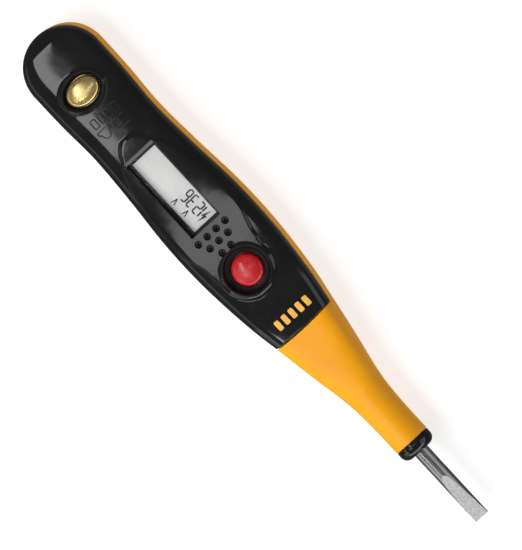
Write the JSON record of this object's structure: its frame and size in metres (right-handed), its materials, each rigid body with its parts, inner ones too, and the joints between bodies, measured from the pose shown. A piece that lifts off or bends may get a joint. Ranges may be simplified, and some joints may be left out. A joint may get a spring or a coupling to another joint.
{
  "type": "voltage tester pen",
  "caption": "Pen-shaped voltage tester with a display window, sounder holes, a touch contact, a push button and a screwdriver blade as its probe.",
  "frame": {"origin": "centre of the overall box, on the flat back on which the tool lies", "axes": "+X along the blade towards its tip, +Y to the left of a user who looks at the display with the tip pointing away, +Z out of the display"},
  "size_m": [0.14, 0.0206, 0.0124],
  "materials": {
    "black_gloss": "moulded, polished gloss black with fine swirl marks",
    "amber_satin": "moulded satin amber-yellow",
    "brass": "polished, lightly handled",
    "red_clear": "translucent glossy red",
    "clear_pane": "clear acrylic pane",
    "lcd_grey": "reflective grey display glass with dark segments",
    "black_rubber": "matt black",
    "zebra_rubber": "layered grey conductive rubber",
    "nickel_steel": "nickel-plated steel, ground bright on the flats",
    "spring_steel": "drawn spring wire",
    "board_green": "green solder mask over glass fibre",
    "black_part": "matt black moulded component",
    "switch_white": "off-white moulded plastic",
    "ceramic_white": "fired ceramic",
    "resistor_blue": "lacquered pale blue with colour bands",
    "resistor_brown": "lacquered brown",
    "capacitor_tan": "tan sintered ceramic",
    "cell_steel": "nickel-plated steel can",
    "zinc_steel": "zinc-plated steel"
  },
  "bodies": {
    "handle": {"front_cover": "black_gloss", "rear_housing": "amber_satin", "nose_collar": "black_gloss", "blade_sleeve": "black_rubber", "screwdriver_blade": "nickel_steel", "test_contact_spring": "spring_steel", "tact_switch_body": "black_part", "display_window": "clear_pane", "display_gasket": "black_rubber", "lcd_panel": "lcd_grey", "zebra_strip_left": "zebra_rubber", "zebra_strip_right": "zebra_rubber", "circuit_board": "board_green", "driver_chip": "black_part", "buzzer_case": "black_part", "piezo_plate": "brass", "piezo_ceramic": "ceramic_white", "resistor_left": "resistor_blue", "resistor_right": "resistor_blue", "filter_capacitor": "capacitor_tan", "signal_transistor": "black_part", "smd_resistor_1": "black_part", "smd_resistor_2": "black_part", "smd_resistor_3": "black_part", "smd_resistor_4": "black_part", "tip_terminal": "brass", "tip_spring": "spring_steel", "series_resistor": "resistor_brown", "battery_cell_front": "cell_steel", "battery_cell_rear": "cell_steel", "battery_contact_plus": "spring_steel", "battery_contact_minus": "spring_steel", "cover_screw": "zinc_steel", "board_screw_left": "zinc_steel", "board_screw_right": "zinc_steel"},
    "red_push_button": {"red_button": "red_clear", "tact_switch_plunger": "switch_white"},
    "touch_contact": {"test_contact": "brass"},
    "battery_hatch": {"battery_door": "amber_satin", "battery_bridge": "spring_steel"}
  },
  "joints": [
    {"name": "button_press", "type": "slide", "parent": "handle", "child": "red_push_button", "axis": [0, 0, -1], "range_m": [0, 0.0005], "stiffness_N_per_m": 2500, "springref_m": -0.0004},
    {"name": "contact_press", "type": "slide", "parent": "handle", "child": "touch_contact", "axis": [0, 0, -1], "range_m": [0, 0.0006], "stiffness_N_per_m": 1200, "springref_m": -0.0004, "deforming": ["test_contact_spring"]},
    {"name": "battery_door_slide", "type": "slide", "parent": "handle", "child": "battery_hatch", "axis": [-1, 0, 0], "range_m": [0, 0.034]}
  ]
}
